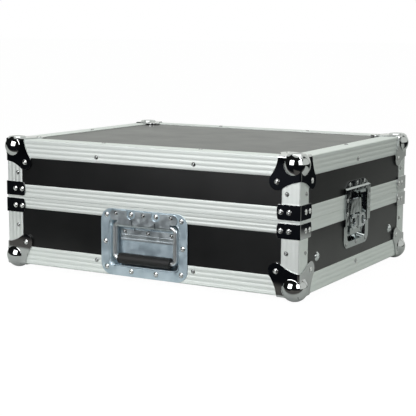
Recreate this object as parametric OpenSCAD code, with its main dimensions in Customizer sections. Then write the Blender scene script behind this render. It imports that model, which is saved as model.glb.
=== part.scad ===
// Flight case for a nineteen inch mixer: a plywood box in ribbed aluminium edges, with a
// lift-off lid, two recessed butterfly latches, a sprung recessed handle and rack rails.
// Millimetres. +Z is up, the handle side is -Y, and the origin is on the ground below the
// middle of the case, which stands on its four lower ball corners.

/* [Case] */
// Distance from each row of rack holes to the outer aluminium face
side_room = 37.45; // [36:0.05:60]
// Distance from each end of the rails to the outer aluminium face
end_room = 15.975; // [15:0.005:60]
// Height over the aluminium edges, closed
case_h = 209; // [200:1:300]
// Height from the top of the handle plate to the joint with the lid
joint_gap = 4.3; // [3:0.1:20]
// Gap left at the joint between base and lid
seam_gap = 0.4; // [0.2:0.1:1]
// Thickness of the laminated plywood panels
panel_t = 7; // [6:0.5:7.5]

/* [Aluminium edges] */
// Leg of the edge angle, seen from outside
leg = 30; // [28:0.5:34]
// Wall of every aluminium section
wall = 1.5; // [1.2:0.1:1.8]
// Leg of the smaller angle inside the edge
inner_leg = 22; // [18:0.5:25]
// How far the panel edges stay from the outer faces
panel_edge = 10.2; // [10.2:0.1:12]
// Extra width of each slot that holds a panel
slot_play = 0.2; // [0.1:0.05:0.3]
// Outer rounding along each edge
edge_r = 2; // [1:0.25:3]
// Thickness of the web that ties the two angles
web_t = 1.5; // [1:0.1:1.6]
// Length taken off each edge where it meets the corner ball
corner_trim = 8; // [7:0.5:9]
// Play of each mitre
mitre_play = 0.05; // [0.02:0.01:0.1]
// Width of each rib along the aluminium, before it is fitted to the leg
rib_w = 7.2; // [5:0.1:10]
// Height of each rib over the valleys beside it
rib_h = 0.35; // [0.2:0.05:0.5]

/* [Closing rims] */
// Height of the base rim seen from outside
base_rim_h = 18.2; // [16:0.2:24]
// Height of the lid rim seen from outside
lid_rim_h = 21; // [18:0.5:25]
// Height of the solid bar that carries the tongue or the groove
rim_bar_h = 5; // [4.5:0.25:6]
// Height of the inner wall of each rim
rim_inner_h = 14; // [10:0.5:15]
// Width of the groove in the base rim
rim_groove_w = 4.2; // [3.6:0.1:4.4]
// Depth of the groove in the base rim
rim_groove_deep = 3.4; // [2.8:0.1:4]
// Play between tongue and groove, each way
tongue_play = 0.4; // [0.3:0.05:0.8]

/* [Corner fittings] */
// Radius of the ball
ball_r = 20.5; // [19.5:0.25:22]
// How far the ball's centre lies inside each face
ball_in = 12; // [11:0.25:13]
// Thickness of the pressed plate
petal_t = 1.8; // [1.5:0.1:2.5]
// Reach of a petal along each case edge
petal_reach = 36; // [34:0.5:40]
// Distance of the nose centre and rivet from both edges
nose_at = 37.5; // [36:0.5:42]
// Radius of the petal's nose
nose_r = 12.8; // [11:0.2:15]
// Radius of the hollow curve between ball and petal
ball_fillet = 6; // [4:0.5:8]
// Height of an upper corner's flat top over the aluminium
stack_h = 4; // [3.5:0.1:6]
// Depth of the dish in it, which takes the ball of a case stacked on top
stack_deep = 2.5; // [1:0.1:3]
// Play of a stacked ball in its dish
stack_play = 0.5; // [0.2:0.1:1]
// Reach of a corner bracket from the corner
bracket_reach = 37.3; // [35:0.5:45]
// Height of a corner bracket
bracket_h = 23.3; // [20:0.5:26]
// Gap between a corner bracket and the joint
bracket_gap = 2.2; // [0.5:0.1:3]
// Thickness of a corner bracket
bracket_t = 1.8; // [1.2:0.1:2.5]
// Corner radius at the ends of a corner bracket
bracket_r = 4.5; // [2:0.5:6]
// How far the end of a corner bracket bulges
bracket_bulge = 2; // [1:0.1:3]
// Distance of a bracket's first rivet from the corner
bracket_rivet_in = 17.1; // [15:0.1:19]
// Distance between a bracket's two rivets
bracket_rivet_pitch = 13.7; // [12:0.1:14.5]

/* [Rivets and bolts] */
// Head radius of the rivets in the corner fittings, handle and latches
rivet_r = 4.2; // [3.5:0.1:4.6]
// Head radius of the rivets in the aluminium edges
small_rivet_r = 3.5; // [2.5:0.1:3.6]
// Height of a rivet head
rivet_h = 1.7; // [1.2:0.1:2.2]
// Distance of the edge rivets from the case edge
edge_rivet_in = 21.3; // [19:0.1:24]
// Distance of the long edges' rivets from the middle
edge_rivet_x = 90; // [84:1:120]
// Drop of an upright's rivet below the middle of its free length
post_rivet_drop = 7.2; // [0:0.1:10]
// Thread diameter of the rail bolts
bolt_d = 6; // [5:0.5:8]
// Play of the bolt holes, on the radius
bolt_play = 0.3; // [0.2:0.05:0.5]
// Head radius of the cup-head bolts
bolt_head_r = 7.2; // [6.5:0.1:9]
// Head height of the cup-head bolts
bolt_head_h = 3.6; // [3:0.1:4.5]
// Distance of a rail's bolts from its ends
bolt_end = 50; // [35:0.5:80]
// Height of the rail bolts above the lower aluminium face
bolt_z = 52.5; // [48:0.5:60]

/* [Rack rails] */
// Rack units
rack_units = 9; // [6:1:9]
// Height of one rack unit
unit_h = 44.45; // [44.45:0.01:44.45]
// Distance between the left and right rows of holes
rack_pitch = 465.1; // [465.1:0.1:465.1]
// Distance of the rack holes from the rail's inner edge
rack_hole_in = 6.55; // [5.5:0.05:8]
// Radius of the rack holes
rack_hole_r = 3.5; // [3.3:0.1:3.6]
// Width of the flange that carries the mixer's ears
ear_flange = 23.5; // [20:0.5:24]
// Height of the flange that is bolted to the case side
rail_h = 58; // [50:1:62]
// Thickness of the rail steel
rail_t = 2; // [1.5:0.1:3]
// Outer bend radius of the rail
rail_bend = 4; // [3:0.5:5]
// Depth of the rail's top below the joint
rail_down = 16.7; // [14:0.1:22]
// Length of the plywood spacer blocks
spacer_l = 60; // [40:1:80]
// Height of the plywood spacer blocks
spacer_h = 34; // [26:1:40]

/* [Foam] */
// Thickness of the foam on the floor
floor_foam_t = 10; // [5:1:15]
// Thickness of the foam under the lid's top
lid_foam_t = 25; // [10:1:35]
// Play between the foam and the inner angles
foam_play = 0.5; // [0.3:0.1:3]

/* [Handle] */
// Width of the handle plate
handle_w = 160.7; // [156:0.5:175]
// Height of the handle plate
handle_h = 107.6; // [104:0.2:125]
// Distance of the handle plate from the lower aluminium face
handle_low = 0.8; // [0.4:0.1:1.5]
// Corner radius of the handle plate
handle_r = 20; // [14:1:26]
// Thickness of the pressed handle plate
plate_t = 1.2; // [1:0.1:1.6]
// Distance of the recess from the plate's sides
recess_side = 15.85; // [15:0.05:18]
// Distance of the recess from the plate's foot
recess_foot = 15.8; // [15:0.1:18]
// Depth of the recess behind the aluminium face
recess_deep = 13.8; // [13.6:0.1:15]
// Corner radius of the recess
recess_r = 10; // [8:0.5:14]
// How much the recess narrows towards its back on each side
recess_draft = 8; // [4:0.5:8.5]
// How much the recess rises towards its back at the bottom
recess_rise = 4; // [2:0.5:5]
// How much the rounded mouth widens the recess on each side
mouth_round = 1.4; // [0.6:0.1:2]
// Distance of the bail's axis below the plate's top
bail_down = 23.9; // [22:0.1:26]
// Depth of the bail behind the aluminium face
bail_in = 3.4; // [3:0.1:4]
// Diameter of the bail's rod
bail_d = 8; // [7:0.5:8.5]
// Distance of the bail's arms from the sides of the recess
bail_side = 8; // [7.5:0.1:9]
// Bend radius of the bail's rod, at its middle
bail_bend = 7; // [6:0.5:8]
// Height of the grip's middle above the foot of the recess
grip_up = 11.9; // [11:0.1:16]
// Diameter of the rubber grip
grip_d = 17.6; // [16:0.2:18]
// Gap between each end of the grip and the bail's bend
grip_end = 0.6; // [0.4:0.1:8]
// Chamfer at the ends of the grip
grip_soft = 2; // [1:0.25:3]
// Wall of the rolled knuckles
knuckle_t = 1.3; // [1:0.1:1.5]
// Running play of the bail in its knuckles
bail_play = 0.06; // [0.03:0.01:0.1]
// Half length of the middle knuckle
knuckle_mid = 22; // [16:0.5:24]
// Gap between each outer knuckle and the bail's bend
knuckle_end = 0.5; // [0.4:0.1:4]
// Slit between two knuckles
knuckle_gap = 1.2; // [0.8:0.1:2]
// Distance of the hinge leaf from the sides of the recess
hinge_side = 2.5; // [1:0.1:5]
// Corner radius of the hinge leaf
hinge_r = 7; // [4:0.5:9]
// Radius of the notches in the hinge leaf, round the rivets of the plate
notch_r = 8; // [6:0.5:9]
// Distance of the stop strip below the bail's axis
strip_down = 9.7; // [8:0.1:14]
// Height of the stop strip
strip_h = 18; // [14:0.5:22]
// Distance of the stop strip from the sides of the recess
strip_side = 12.5; // [10:0.5:20]

/* [Latches] */
// Width of a latch
latch_w = 101; // [98:0.5:110]
// Reach of a latch below the joint
latch_down = 66.4; // [65:0.2:74]
// Reach of a latch above the joint
latch_up = 41; // [38:0.2:44]
// Corner radius at the foot of a latch
latch_r = 15; // [8:1:18]
// Thickness of the latch plates
latch_t = 1.4; // [1.2:0.1:1.5]
// How far the cranked part stands out of the aluminium
latch_out = 2.6; // [2.4:0.1:3]
// Distance of the lower crank below the joint
crank_down = 30; // [28:0.5:32]
// Distance of the upper crank above the joint
crank_up = 30.2; // [28.6:0.2:31]
// Half width of the latch recess
dish_x = 37; // [36:0.5:38]
// Reach of the latch recess below the joint
dish_down = 56.5; // [55:0.5:58]
// Reach of the latch recess above the joint
dish_up = 25; // [23:0.5:26]
// Depth of the latch recess behind the aluminium face
dish_deep = 11.5; // [11:0.1:12]
// How much the latch recess narrows towards its back on each side
dish_draft = 4; // [2:0.5:5]
// Distance of the key's axis below the joint
key_down = 25.7; // [25:0.1:27]
// Reach of each wing of the key
wing_reach = 29.5; // [26:0.5:29.5]
// Height of the wings
wing_h = 23; // [18:0.5:24]
// Thickness of the wings
wing_t = 1.5; // [1.2:0.1:1.6]
// Width of the ring round each wing's finger window
wing_ring = 4.6; // [4:0.2:7]
// Distance of each wing's pin from the middle
wing_pin_x = 3; // [2.6:0.1:3.4]
// Radius of the wing pins
wing_pin_r = 1; // [0.8:0.05:1.1]
// Running play of the small pins
pin_play = 0.08; // [0.05:0.01:0.1]
// Travel of the hook when the key makes its half turn
hook_travel = 8; // [6:0.5:9]
// Half width of the hook plate
hook_x = 22; // [18:0.5:23]
// Thickness of the hook plate
hook_t = 2.2; // [2:0.1:2.4]
// Reach of the hook above the joint when it is closed
hook_up = 10; // [8:0.5:12]
// Radius of the eccentric that drives the hook
cam_r = 8; // [7:0.25:8.5]

/* [Hidden] */
$fn = 48;
hull_fn = 32;
EPS = 0.01;
rail_length = rack_units * unit_h;
rack_open = rack_pitch - 2 * rack_hole_in;
case_w = rack_pitch + 2 * side_room;
case_d = rail_length + 2 * end_room;
handle_top = handle_low + handle_h;
base_h = handle_top + joint_gap;
ball_out = ball_r - ball_in;
low_z = ball_out;
seam_z = low_z + base_h;
top_z = low_z + case_h;
slot_in = wall + panel_t + slot_play;
rim_in = slot_in + wall;
inner_face = wall + panel_t;
post_base_h = base_h - base_rim_h;
lid_h = case_h - base_h;
post_lid_h = lid_h - lid_rim_h;
big = 1000;

// Latch levels, as depth behind the aluminium face
latch_high = -latch_out;
latch_low = wall - latch_t;
crank_run = 2.4;
crank_lag = 0.4;
hook_front = 1.5;
wing_mid = -2.2;
knuckle_r = 1.9;
disc_r = 9;
post_r = 3.5;
post_end = dish_deep - 1.2;
post_gap = 0.4;
boss_gap = 0.6;
half_gap = seam_gap / 2;

// Latch rivets: along the foot, along the top, and beside the recess
foot_rivet_x = [-40, 0, 40];
foot_rivet_up = 1.3;
top_rivet_x = [-30, 0, 30];
top_rivet_up = 0.4;
side_rivet_up = 11.6;
side_rivet_down = 10;

// Places on the case
// Local frames have x to the right, y into the case and z up, as at the front face.

module on_front() translate([0, -case_d / 2, low_z]) children();
module on_back() rotate([0, 0, 180]) on_front() children();
module on_right() rotate([0, 0, 90]) translate([0, -case_w / 2, low_z]) children();
module on_left() rotate([0, 0, -90]) translate([0, -case_w / 2, low_z]) children();

// A corner's frame runs inwards along all three edges.
module at_corner(sx, sy, up) {
  translate([sx * case_w / 2, sy * case_d / 2, up ? top_z : low_z])
    mirror([sx > 0 ? 1 : 0, 0, 0]) mirror([0, sy > 0 ? 1 : 0, 0]) mirror([0, 0, up ? 1 : 0])
      children();
}

module four_corners(up) for (sx = [-1, 1], sy = [-1, 1]) at_corner(sx, sy, up) children();

module lid_side() translate([0, 0, low_z + top_z]) mirror([0, 0, 1]) children();

// Profiles

// One rib as shares of its width and height: a valley, then up to a flat crest and down again
rib_points = [[0, 1], [0.2, 0.36], [0.4, 0], [0.6, 0], [0.8, 0.36]];

// What is cut away between the ribs of a leg of the given length, on the face at y = 0.
// The first rib keeps its full height up to the fold.
module between_ribs(length) {
  count = round(length / rib_w);
  pitch = length / count;
  wave = [for (i = [0:count - 1], p = rib_points)
    if (i > 0 || p[0] > 0.5) [(i + p[0]) * pitch, p[1] * rib_h]];
  polygon(concat([[0, -1], [0, 0]], wave,
                 [[length, rib_h], [length + 1, rib_h], [length + 1, -1]]));
}

// Double angle: outer angle, smaller inner angle, and the web between them
module edge_profile() {
  half = web_t / sqrt(2);
  a = wall + half;
  b = slot_in + half;
  c = slot_in + wall;
  side = [[leg, 0], [leg, wall], [a, wall], [b, slot_in], [inner_leg, slot_in], [inner_leg, c]];
  other = [for (i = [len(side) - 1:-1:0]) [side[i][1], side[i][0]]];
  difference() {
    polygon(concat([[0, 0]], side, [[c, c]], other));
    outer_rounding();
    between_ribs(leg);
    mirror([1, -1]) between_ribs(leg);
  }
}

module outer_rounding()
  difference() {
    translate([-1, -1]) square(edge_r + 1);
    translate([edge_r, edge_r]) circle(edge_r);
  }

// Bar along +X with its outer faces at y = 0 and z = 0
module edge_bar(length) rotate([90, 0, 90]) linear_extrude(length) edge_profile();

// Outline of a bar that is mitred and trimmed at both ends, or at its start only
module mitre_outline(length, both) {
  start = [[corner_trim, corner_trim - mitre_play], [corner_trim, -1]];
  finish = both
    ? [[length - corner_trim, -1], [length - corner_trim, corner_trim - mitre_play],
       [length - leg - mitre_play, leg + EPS]]
    : [[length, -1], [length, leg + EPS]];
  polygon(concat(start, finish, [[leg + mitre_play, leg + EPS]]));
}

module mitred_bar(length, both = true) {
  intersection() {
    edge_bar(length);
    linear_extrude(leg + EPS) mitre_outline(length, both);
    translate([0, leg + EPS, 0]) rotate([90, 0, 0]) linear_extrude(leg + 1 + EPS)
      mitre_outline(length, both);
  }
}

// Upright at a corner, starting in the mitre and ending square
module corner_post(height)
  mirror([1, 0, -1]) mitred_bar(height, false);

module post_set(height) {
  at_corner(-1, -1, false) corner_post(height);
  at_corner(1, -1, false) corner_post(height);
  at_corner(-1, 1, false) corner_post(height);
  at_corner(1, 1, false) corner_post(height);
}

// Base rim, up to z = 0 at the joint, with the groove on top
module base_rim_profile() {
  bar_low = -rim_bar_h;
  difference() {
    union() {
      translate([0, -base_rim_h]) square([wall, base_rim_h]);
      translate([slot_in, -rim_inner_h]) square([wall, rim_inner_h]);
      translate([0, bar_low]) square([rim_in, rim_bar_h]);
    }
    translate([(rim_in - rim_groove_w) / 2, -rim_groove_deep])
      square([rim_groove_w, rim_groove_deep + 1]);
    rotate(-90) between_ribs(base_rim_h);
  }
}

// Lid rim, down to z = 0 at the joint, with the tongue below
module lid_rim_profile() {
  tongue_w = rim_groove_w - 2 * tongue_play;
  tongue_h = rim_groove_deep - tongue_play;
  difference() {
    union() {
      square([wall, lid_rim_h]);
      translate([slot_in, 0]) square([wall, rim_inner_h]);
      square([rim_in, rim_bar_h]);
      translate([(rim_in - tongue_w) / 2, -tongue_h + seam_gap])
        square([tongue_w, tongue_h - seam_gap + 1]);
    }
    rotate(90) mirror([0, 1]) between_ribs(lid_rim_h);
  }
}

// Rim along X, centred, mitred in plan at both ends
module rim_bar(length) {
  intersection() {
    translate([-length / 2, 0, 0]) rotate([90, 0, 90]) linear_extrude(length) children();
    translate([0, 0, -big / 2]) linear_extrude(big)
      polygon([[-length / 2 - 1 + mitre_play, -1], [length / 2 + 1 - mitre_play, -1],
               [length / 2 - rim_in - 1 - mitre_play, rim_in + 1],
               [-length / 2 + rim_in + 1 + mitre_play, rim_in + 1]]);
  }
}

module base_rim(length) translate([0, 0, base_h]) rim_bar(length) base_rim_profile();
module lid_rim(length) translate([0, 0, base_h + seam_gap]) rim_bar(length) lid_rim_profile();

// Panels, in the local frame of a face

module side_panel(length, low, high)
  translate([-length / 2 + panel_edge, wall, low])
    cube([length - 2 * panel_edge, panel_t, high - low]);

base_panel_top = base_h - rim_bar_h - slot_play / 2;
lid_panel_low = base_h + seam_gap + rim_bar_h + slot_play / 2;
lid_panel_top = case_h - panel_edge;

module base_panel(length) side_panel(length, panel_edge, base_panel_top);
module lid_panel(length) side_panel(length, lid_panel_low, lid_panel_top);

module flat_panel(z)
  translate([-case_w / 2 + panel_edge, -case_d / 2 + panel_edge, z])
    cube([case_w - 2 * panel_edge, case_d - 2 * panel_edge, panel_t]);

bolt_y = rail_length / 2 - bolt_end;

module bolt_holes(r)
  for (y = [-bolt_y, bolt_y])
    translate([y, -bolt_head_h - 1, bolt_z]) rotate([-90, 0, 0]) cylinder(h = big / 10, r = r);

// Corner fittings

// Outline of one petal, symmetric about the diagonal, with hollow flanks
module petal_outline() {
  flank_r = 60;
  reach = nose_at + nose_r * 0.94;
  side = nose_at - nose_r * 0.46;
  difference() {
    union() {
      polygon([[-petal_t, -petal_t], [petal_reach, -petal_t], [petal_reach, 0],
               [reach, side], [side, reach], [0, petal_reach], [-petal_t, petal_reach]]);
      translate([nose_at, nose_at]) circle(nose_r);
    }
    petal_flank(flank_r, reach, side);
    mirror([1, -1]) petal_flank(flank_r, reach, side);
  }
}

// Hollow flank: an arc through the ends of a petal's side
module petal_flank(r, reach, side) {
  dx = reach - petal_reach;
  dy = side;
  half = norm([dx, dy]) / 2;
  away = sqrt(r * r - half * half);
  mid = [petal_reach + dx / 2, dy / 2];
  translate([mid[0] + away * dy / (2 * half), mid[1] - away * dx / (2 * half)])
    circle(r, $fn = 180);
}

// The petal on the face z = 0, standing out of it by petal_t
module petal() translate([0, 0, -petal_t]) linear_extrude(petal_t + 1) petal_outline();

// Hollow curve where the ball rises out of the petal on the face z = 0
module ball_skirt() {
  sink = 0.15;
  bite = 0.5;
  depth = ball_in + petal_t;
  run = sqrt(pow(ball_r + ball_fillet, 2) - pow(depth + ball_fillet, 2)) - bite;
  share = ball_r / (ball_r + ball_fillet);
  tip = [run * share, ball_fillet - ball_fillet * (depth + ball_fillet) / (ball_r + ball_fillet)];
  translate([ball_in, ball_in, -petal_t]) mirror([0, 0, 1])
    rotate_extrude($fn = 96) difference() {
      polygon([[0, -1], [run, -1], [run, 0], tip, [0, tip[1]]]);
      translate([run, ball_fillet - sink]) circle(ball_fillet, $fn = 96);
    }
}

module three_faces() {
  children();
  rotate([90, 0, 90]) children();
  rotate([0, -90, -90]) children();
}

// What the case itself fills at a corner, less the trimmed tip
module case_corner() {
  reach = petal_reach + leg;
  tip = corner_trim - 0.2;
  difference() {
    cube(reach);
    translate([-1, -1, -1]) cube(tip + 1);
  }
}

module ball_corner() {
  difference() {
    union() {
      translate([ball_in, ball_in, ball_in]) sphere(ball_r, $fn = 96);
      difference() {
        three_faces() petal();
        edge_rounding(edge_r + petal_t);
      }
      difference() {
        three_faces() ball_skirt();
        edge_rounding(edge_r + petal_t + skirt_rise);
      }
    }
    case_corner();
  }
}

skirt_rise = 0.4;

// Upper corner: its ball is cut flat and dished, so that a case stacked on top can't slide
module stacking_corner() {
  dish_r = ball_r + stack_play;
  difference() {
    ball_corner();
    translate([ball_in - ball_r - 1, ball_in - ball_r - 1, -ball_r - stack_h])
      cube([2 * ball_r + 2, 2 * ball_r + 2, ball_r]);
    translate([ball_in, ball_in, stack_deep - stack_h - dish_r]) sphere(dish_r, $fn = 96);
  }
}

// Rounds the three folded edges of the pressed plate
module edge_rounding(r)
  three_faces()
    translate([edge_r, edge_r, -r - 1]) difference() {
      translate([-3 * r, -3 * r, 0]) cube([3 * r, 3 * r, petal_reach + leg]);
      translate([0, 0, -1]) cylinder(h = petal_reach + leg + 2, r = r);
    }

// One leg of a bracket, with a bulging end and rounded corners
module bracket_leg() {
  chord = bracket_h / 2;
  r = (chord * chord + bracket_bulge * bracket_bulge) / (2 * bracket_bulge);
  translate([0, 1, 0]) intersection() {
    rotate([90, 0, 0]) linear_extrude(bracket_t + 2)
      rounded_outline(bracket_reach, 0, bracket_h, bracket_r);
    translate([0, -bracket_t - 1, 0]) cube([bracket_reach, bracket_t, bracket_h]);
    union() {
      translate([0, -bracket_t - 2, 0])
        cube([bracket_reach - bracket_bulge, bracket_t + 2, bracket_h]);
      translate([bracket_reach - r, 0, bracket_h / 2]) rotate([90, 0, 0])
        cylinder(h = bracket_t + 2, r = r, $fn = 120);
    }
  }
}

// Bent bracket round a vertical corner, standing on z = 0, with a rounded fold
module corner_bracket() {
  bracket_leg();
  mirror([1, -1, 0]) bracket_leg();
  intersection() {
    cylinder(h = bracket_h, r = bracket_t);
    translate([-bracket_t, -bracket_t, 0]) cube([bracket_t, bracket_t, bracket_h]);
  }
}

// Rivets

// Half section of a domed head, standing on the x axis
module dome_section(r, h) {
  dome = (r * r + h * h) / (2 * h);
  intersection() {
    translate([0, h - dome]) circle(dome, $fn = 96);
    square([r, h]);
  }
}

// Domed head on the plane y = 0 of a face frame, standing out towards -Y
module rivet(r = rivet_r) rotate([90, 0, 0]) rotate_extrude() dome_section(r, rivet_h);

// Rivets of one ball corner's three petals and, further on, of the folded bracket
module petal_rivets()
  three_faces() translate([nose_at, nose_at, -petal_t]) rotate([90, 0, 0]) rivet();

module bracket_rivet_set(z)
  for (x = [bracket_rivet_in, bracket_rivet_in + bracket_rivet_pitch]) {
    translate([x, -bracket_t, z]) rivet();
    translate([-bracket_t, x, z]) rotate([0, 0, -90]) rivet();
  }

module upright_rivets(z) {
  translate([edge_rivet_in, 0, z]) rivet(small_rivet_r);
  translate([0, edge_rivet_in, z]) rotate([0, 0, -90]) rivet(small_rivet_r);
}

// Rivets of the lower edges and of their posts, for the base or, mirrored, for the lid
module frame_rivets(post_h, bracket_z) {
  for (sx = [-1, 1], sy = [-1, 1]) at_corner(sx, sy, false) {
    petal_rivets();
    bracket_rivet_set(bracket_z + bracket_h / 2);
    upright_rivets((nose_at + nose_r + post_h) / 2 - post_rivet_drop);
  }
  edge_row(case_d, edge_rivet_x);
  rotate([0, 0, 180]) edge_row(case_d, edge_rivet_x);
  for (turn = [-90, 90]) rotate([0, 0, turn]) edge_row(case_w, 0);
}

// Rivets through the outer face and the under side of one lower edge
module edge_row(span, x_off)
  for (x = x_off > 0 ? [-x_off, x_off] : [0])
    translate([x, -span / 2, low_z]) {
      translate([0, 0, edge_rivet_in]) rivet(small_rivet_r);
      translate([0, edge_rivet_in, 0]) rotate([90, 0, 0]) rivet(small_rivet_r);
    }

// Handle, in the frame of the front face

// Outline from -x to x and from low to high, with rounded corners
module rounded_outline(x, low, high, r)
  difference() {
    translate([-x, low]) square([2 * x, high - low]);
    for (sx = [-1, 1], top = [0, 1]) {
      cx = sx * (x - r);
      cz = top ? high - r : low + r;
      difference() {
        translate([min(cx, cx + sx * (r + 1)), top ? cz : cz - r - 1]) square(r + 1);
        translate([cx, cz]) circle(r);
      }
    }
  }

recess_x = handle_w / 2 - recess_side;
recess_low = handle_low + recess_foot;
bail_z = handle_top - bail_down;
bail_x = recess_x - bail_side;
bail_drop = bail_z - recess_low - grip_up;
recess_high = bail_z + bail_d / 2 + 3.5;
recess_drop = 2;

// Thin slab of a rounded outline at the depth y
module rounded_slab(x, low, high, y)
  translate([0, y + EPS, 0]) rotate([90, 0, 0]) linear_extrude(EPS)
    rounded_outline(x, low, high, recess_r, $fn = hull_fn);

// Tapered block that fills the recess, grown by grow all round and behind
module recess_block(grow, front) {
  x = recess_x + grow;
  low = recess_low - grow;
  high = recess_high + grow;
  hull() {
    rounded_slab(x, low, high, front);
    rounded_slab(x - recess_draft, low + recess_rise, high - recess_drop,
                 recess_deep + grow - EPS);
  }
}

// Widening cut that rounds the recess's mouth into the plate
module recess_mouth() {
  front = -plate_t - EPS;
  hull() {
    rounded_slab(recess_x + mouth_round, recess_low - mouth_round,
                 recess_high + mouth_round, front - EPS);
    rounded_slab(recess_x, recess_low, recess_high, mouth_round - plate_t);
  }
}

// Straight cut that clears the recess in panels and edges
module handle_cut() {
  play = plate_t + 1;
  translate([-recess_x - play, -1, recess_low - play])
    cube([2 * (recess_x + play), recess_deep + 10, recess_high - recess_low + 2 * play]);
}

// Rivets of the handle plate as distances from its sides, and from its foot or top
corner_rivet_side = 11.1;
middle_rivet_x = 23;
side_rivet_in = 8.35;
upper_rivets = [[handle_w / 2 - corner_rivet_side, 10.7], [middle_rivet_x, 7.4]];
lower_rivets = [[handle_w / 2 - corner_rivet_side, 12.4], [middle_rivet_x, 8.6]];

hinge_x = recess_x - hinge_side;
hinge_rivet_x = hinge_x - 11;
hinge_rivet_z = handle_top - 7.2;
strip_x = recess_x - strip_side;
strip_high = bail_z - strip_down;
strip_rivet_x = strip_x - 8;

module handle_rivets() {
  for (sx = [-1, 1]) {
    for (p = upper_rivets) translate([sx * p[0], -plate_t, handle_top - p[1]]) rivet();
    for (p = lower_rivets) translate([sx * p[0], -plate_t, handle_low + p[1]]) rivet();
    translate([sx * (handle_w / 2 - side_rivet_in), -plate_t, handle_low + handle_h / 2]) rivet();
  }
  for (sx = [-1, 0, 1]) {
    translate([sx * hinge_rivet_x, -2 * plate_t, hinge_rivet_z]) rivet(small_rivet_r);
    translate([sx * strip_rivet_x, recess_deep - plate_t, strip_high - small_rivet_r - 1])
      rivet(small_rivet_r);
  }
}

// Latch, in the frame of a side face with z = 0 at the joint

module at_joint() translate([0, 0, base_h + half_gap]) children();

// Side view of a cranked plate as points [depth, height]
function crank_points(low_end, fold, high_end, dir) = [
  [wall, dir * low_end], [wall, dir * (fold + crank_run / 2)],
  [latch_high + latch_t, dir * (fold - crank_run / 2)], [latch_high + latch_t, dir * high_end],
  [latch_high, dir * high_end], [latch_high, dir * (fold - crank_run / 2 - crank_lag)],
  [latch_low, dir * (fold + crank_run / 2 - crank_lag)], [latch_low, dir * low_end]
];

module cranked_plate(low_end, fold, high_end, dir)
  translate([-latch_w / 2, 0, 0]) rotate([90, 0, 90]) linear_extrude(latch_w)
    polygon(crank_points(low_end, fold, high_end, dir));

// Prism through the whole depth of the latch, cut to an outline
module through(front = -latch_out - 4, back = dish_deep + 10)
  translate([0, back, 0]) rotate([90, 0, 0]) linear_extrude(back - front) children();

// Half dish outline: x to both sides, from the joint to reach, in the direction dir
module half_outline(x, reach, r, dir) {
  difference() {
    translate([-x, dir > 0 ? 0 : -reach]) square([2 * x, reach]);
    for (sx = [-1, 1])
      difference() {
        translate([sx > 0 ? x - r : -x - 1, dir > 0 ? reach - r : -reach - 1]) square(r + 1);
        translate([sx * (x - r), dir * (reach - r)]) circle(r);
      }
  }
}

dish_r = 8;

// Tapered block that fills half of the latch recess
module dish_block(reach, dir, grow, front) {
  hull() {
    half_slab(dish_x + grow, reach + grow, dir, front);
    half_slab(dish_x + grow - dish_draft, reach + grow - dish_draft, dir, dish_deep + grow - EPS);
  }
}

module half_slab(x, reach, dir, y)
  translate([0, y + EPS, 0]) rotate([90, 0, 0]) linear_extrude(EPS)
    half_outline(x, reach, dish_r, dir, $fn = hull_fn);

// What lies beyond the joint, seen from one half
module joint_side(dir)
  translate([-latch_w, dir > 0 ? half_gap - latch_w : -half_gap]) square([2 * latch_w, latch_w]);

module dish_shell(reach, dir) {
  difference() {
    dish_block(reach, dir, plate_t, latch_low);
    translate([0, -EPS, 0]) dish_block(reach, dir, 0, latch_low - 1);
    through() joint_side(dir);
  }
}

// Straight collar between the dish and the raised part of the plate
module dish_collar(reach, inner_reach, dir)
  difference() {
    through(latch_high, latch_low + EPS)
      half_outline(dish_x + plate_t, reach, dir > 0 ? dish_r + plate_t : EPS, dir);
    through() half_outline(dish_x, inner_reach, dish_r, dir);
    through() joint_side(dir);
  }

// Folded sides that seat the raised part on the aluminium and, further on, on the panel
module crank_returns(reach, rim_h, dir)
  for (sx = [-1, 1]) {
    x = sx > 0 ? latch_w / 2 - latch_t : -latch_w / 2;
    translate([x, latch_high + latch_t - EPS, dir > 0 ? half_gap : -reach])
      cube([latch_t, latch_out - latch_t + EPS, reach - half_gap]);
    translate([x, -EPS, dir > 0 ? rim_h + seam_gap : -reach])
      cube([latch_t, wall + EPS, reach - rim_h - seam_gap]);
  }

// Boss on the dish's floor with a blind bore for the key's post
module key_boss() {
  bore_r = post_r + pin_play;
  front = hook_front + hook_t + boss_gap;
  deep = post_end + post_gap - front;
  translate([0, front, -key_down]) rotate([-90, 0, 0]) difference() {
    cylinder(h = dish_deep - front, r = disc_r);
    translate([0, 0, -1]) cylinder(h = deep + 1, r = bore_r);
  }
}

hook_foot = 8;
hook_down = key_down + hook_travel / 2 + cam_r + hook_foot;
guide_play = 0.4;
guide_t = 2;
guide_out = 0.5;
guide_top = 6;

module hook_guides()
  for (sx = [-1, 1])
    translate([sx > 0 ? hook_x + guide_play : -hook_x - guide_play - guide_t,
               hook_front - guide_out, -hook_down])
      cube([guide_t, dish_deep - hook_front + guide_out, hook_down - guide_top]);

module latch_dish() {
  at_joint() {
    intersection() {
      difference() {
        cranked_plate(latch_down, crank_down, half_gap, -1);
        through() half_outline(dish_x, dish_down, dish_r, -1);
      }
      through() half_outline(latch_w / 2, latch_down, latch_r, -1);
    }
    crank_returns(crank_down - crank_run / 2 - crank_lag, base_rim_h, -1);
    dish_collar(crank_down, dish_down, -1);
    dish_shell(dish_down, -1);
    key_boss();
    hook_guides();
  }
}

keeper_x = 16;
keeper_gap = 0.4;
keeper_t = 2;
keeper_h = 6.5;
keeper_grip = 7;

// Lip behind the hook's nose
module keeper_lip() {
  front = hook_front + hook_t + keeper_gap;
  low = hook_up - keeper_grip;
  translate([-keeper_x, front, low]) cube([2 * keeper_x, keeper_t, keeper_h]);
  translate([-keeper_x, front, low]) cube([2 * keeper_x, dish_deep - front, keeper_t]);
}

// The keeper narrows above its crank; its corners are cut
keeper_narrow = 17;
keeper_cut = 1.5;

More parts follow.
